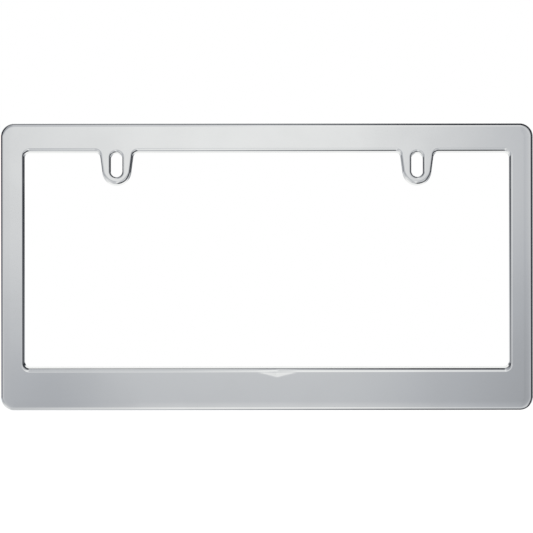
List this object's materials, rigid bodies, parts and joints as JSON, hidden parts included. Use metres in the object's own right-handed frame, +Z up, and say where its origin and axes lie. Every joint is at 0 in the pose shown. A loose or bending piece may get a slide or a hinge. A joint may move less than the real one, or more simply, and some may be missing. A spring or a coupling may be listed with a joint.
{
  "type": "number plate holder",
  "caption": "Chromed one-piece frame that goes round a vehicle number plate, with rolled edges, a wide lower rail and slotted bolt tabs that hang into its window.",
  "frame": {"origin": "centre of the plane of the outer rim's back edge, which meets the bodywork", "axes": "+X to the right as seen from the front, +Y out of the back towards the bodywork, +Z up; the polished face looks along -Y"},
  "size_m": [0.315, 0.0064, 0.17],
  "materials": {
    "chrome": "polished"
  },
  "bodies": {
    "root": {"plate_frame": "chrome"}
  },
  "joints": []
}
